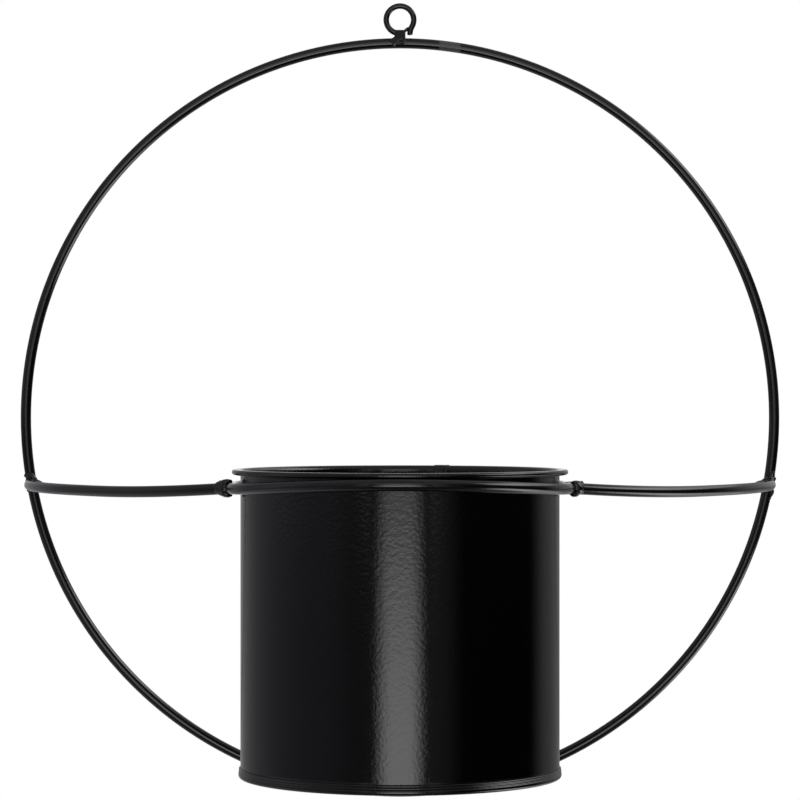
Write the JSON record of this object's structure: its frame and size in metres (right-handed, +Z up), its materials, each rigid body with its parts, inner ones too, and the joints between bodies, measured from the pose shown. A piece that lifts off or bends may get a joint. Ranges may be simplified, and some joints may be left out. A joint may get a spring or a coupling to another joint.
{
  "type": "wall planter",
  "caption": "Wall planter: a round-wire hoop on a hanging eye, with curved wire arms and a ring in front that holds a lift-out sheet-steel pot by its rolled rim.",
  "frame": {"origin": "highest point inside the hanging eye, where the nail or hook in the wall carries the planter", "axes": "+Z up along the hoop's upright centreline, +Y towards the wall (the hoop lies in the XZ plane), -Y towards the viewer and the pot, +X to the viewer's right"},
  "size_m": [0.4, 0.2623, 0.4184],
  "materials": {
    "wire_black": "gloss black powder coat on steel wire",
    "weld_black": "gloss black powder coat over rough weld metal",
    "pot_black": "gloss black powder coat with slight orange peel on sheet steel"
  },
  "bodies": {
    "frame": {"hoop": "wire_black", "eye_ring": "wire_black", "eye_weld": "weld_black", "holder_ring": "wire_black", "left_arm": "wire_black", "right_arm": "wire_black", "left_hoop_weld": "weld_black", "right_hoop_weld": "weld_black", "left_ring_weld": "weld_black", "right_ring_weld": "weld_black"},
    "pot": {"pot_shell": "pot_black", "pot_base": "pot_black"}
  },
  "joints": [
    {"name": "pot_lift", "type": "slide", "parent": "frame", "child": "pot", "axis": [0, 0, 1], "range_m": [0, 0.16]}
  ]
}
